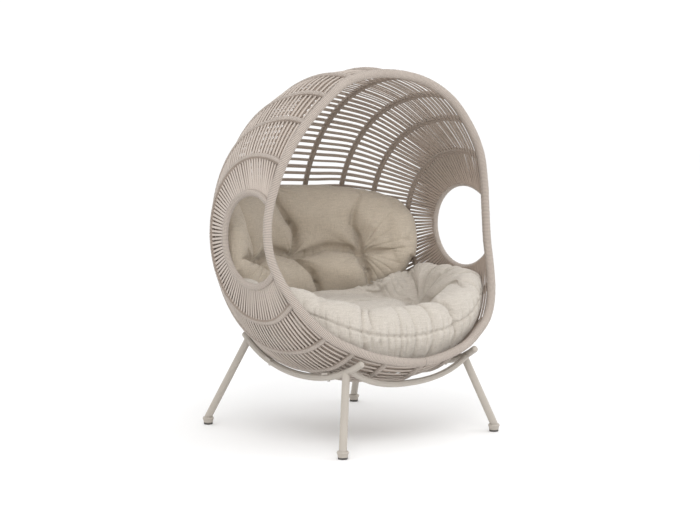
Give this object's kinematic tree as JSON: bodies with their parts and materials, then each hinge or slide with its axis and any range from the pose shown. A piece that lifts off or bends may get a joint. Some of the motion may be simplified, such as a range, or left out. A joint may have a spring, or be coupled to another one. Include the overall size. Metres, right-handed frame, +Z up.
{
  "type": "egg lounge chair",
  "caption": "Round woven-rope garden chair with open front, side openings, splayed four-leg tube stand and loose tufted seat and back cushions.",
  "frame": {"origin": "on the floor, at the middle of the bounding box seen from above", "axes": "+Z up, -Y out of the open front, +X to the right of someone standing in front of the chair; nodes named left are at -X"},
  "size_m": [1.172, 1.018, 1.4507],
  "materials": {
    "powder_coat": "satin beige powder coat",
    "wrap_rope": "tightly wound braided rope",
    "woven_rope": "flat pairs of braided rope",
    "rubber_pad": "matt",
    "bolt_steel": "satin",
    "seat_fabric": "pale linen weave",
    "back_fabric": "greige linen weave"
  },
  "bodies": {
    "frame": {"side_rail_left": "powder_coat", "side_rail_right": "powder_coat", "cross_arc_front": "powder_coat", "cross_arc_rear": "powder_coat", "leg_front_left": "powder_coat", "foot_cup_front_left": "powder_coat", "foot_pad_front_left": "rubber_pad", "rail_cap_front_left": "powder_coat", "shell_saddle_front_left": "powder_coat", "shell_bolt_front_left": "bolt_steel", "leg_front_right": "powder_coat", "foot_cup_front_right": "powder_coat", "foot_pad_front_right": "rubber_pad", "rail_cap_front_right": "powder_coat", "shell_saddle_front_right": "powder_coat", "shell_bolt_front_right": "bolt_steel", "leg_rear_left": "powder_coat", "foot_cup_rear_left": "powder_coat", "foot_pad_rear_left": "rubber_pad", "rail_cap_rear_left": "powder_coat", "shell_saddle_rear_left": "powder_coat", "shell_bolt_rear_left": "bolt_steel", "leg_rear_right": "powder_coat", "foot_cup_rear_right": "powder_coat", "foot_pad_rear_right": "rubber_pad", "rail_cap_rear_right": "powder_coat", "shell_saddle_rear_right": "powder_coat", "shell_bolt_rear_right": "bolt_steel", "rim_tube": "powder_coat", "rim_wrap_left": "wrap_rope", "rim_wrap_right": "wrap_rope", "rib_center": "wrap_rope", "rib_left_1": "wrap_rope", "rib_left_2": "wrap_rope", "rib_left_3": "wrap_rope", "rib_left_4": "wrap_rope", "side_ring_left": "powder_coat", "side_ring_wrap_left": "wrap_rope", "weave_left_1": "woven_rope", "weave_left_2": "woven_rope", "weave_left_3": "woven_rope", "weave_left_4": "woven_rope", "weave_left_5": "woven_rope", "rib_right_1": "wrap_rope", "rib_right_2": "wrap_rope", "rib_right_3": "wrap_rope", "rib_right_4": "wrap_rope", "side_ring_right": "powder_coat", "side_ring_wrap_right": "wrap_rope", "weave_right_1": "woven_rope", "weave_right_2": "woven_rope", "weave_right_3": "woven_rope", "weave_right_4": "woven_rope", "weave_right_5": "woven_rope"},
    "seat": {"seat_cushion": "seat_fabric"},
    "back": {"back_cushion": "back_fabric"}
  },
  "joints": [
    {"name": "seat_lift", "type": "slide", "parent": "frame", "child": "seat", "axis": [0, -0.4472, 0.8944], "range_m": [0, 0.04]},
    {"name": "back_lift", "type": "slide", "parent": "seat", "child": "back", "axis": [0, -0.6, 0.8], "range_m": [0, 0.08]}
  ]
}
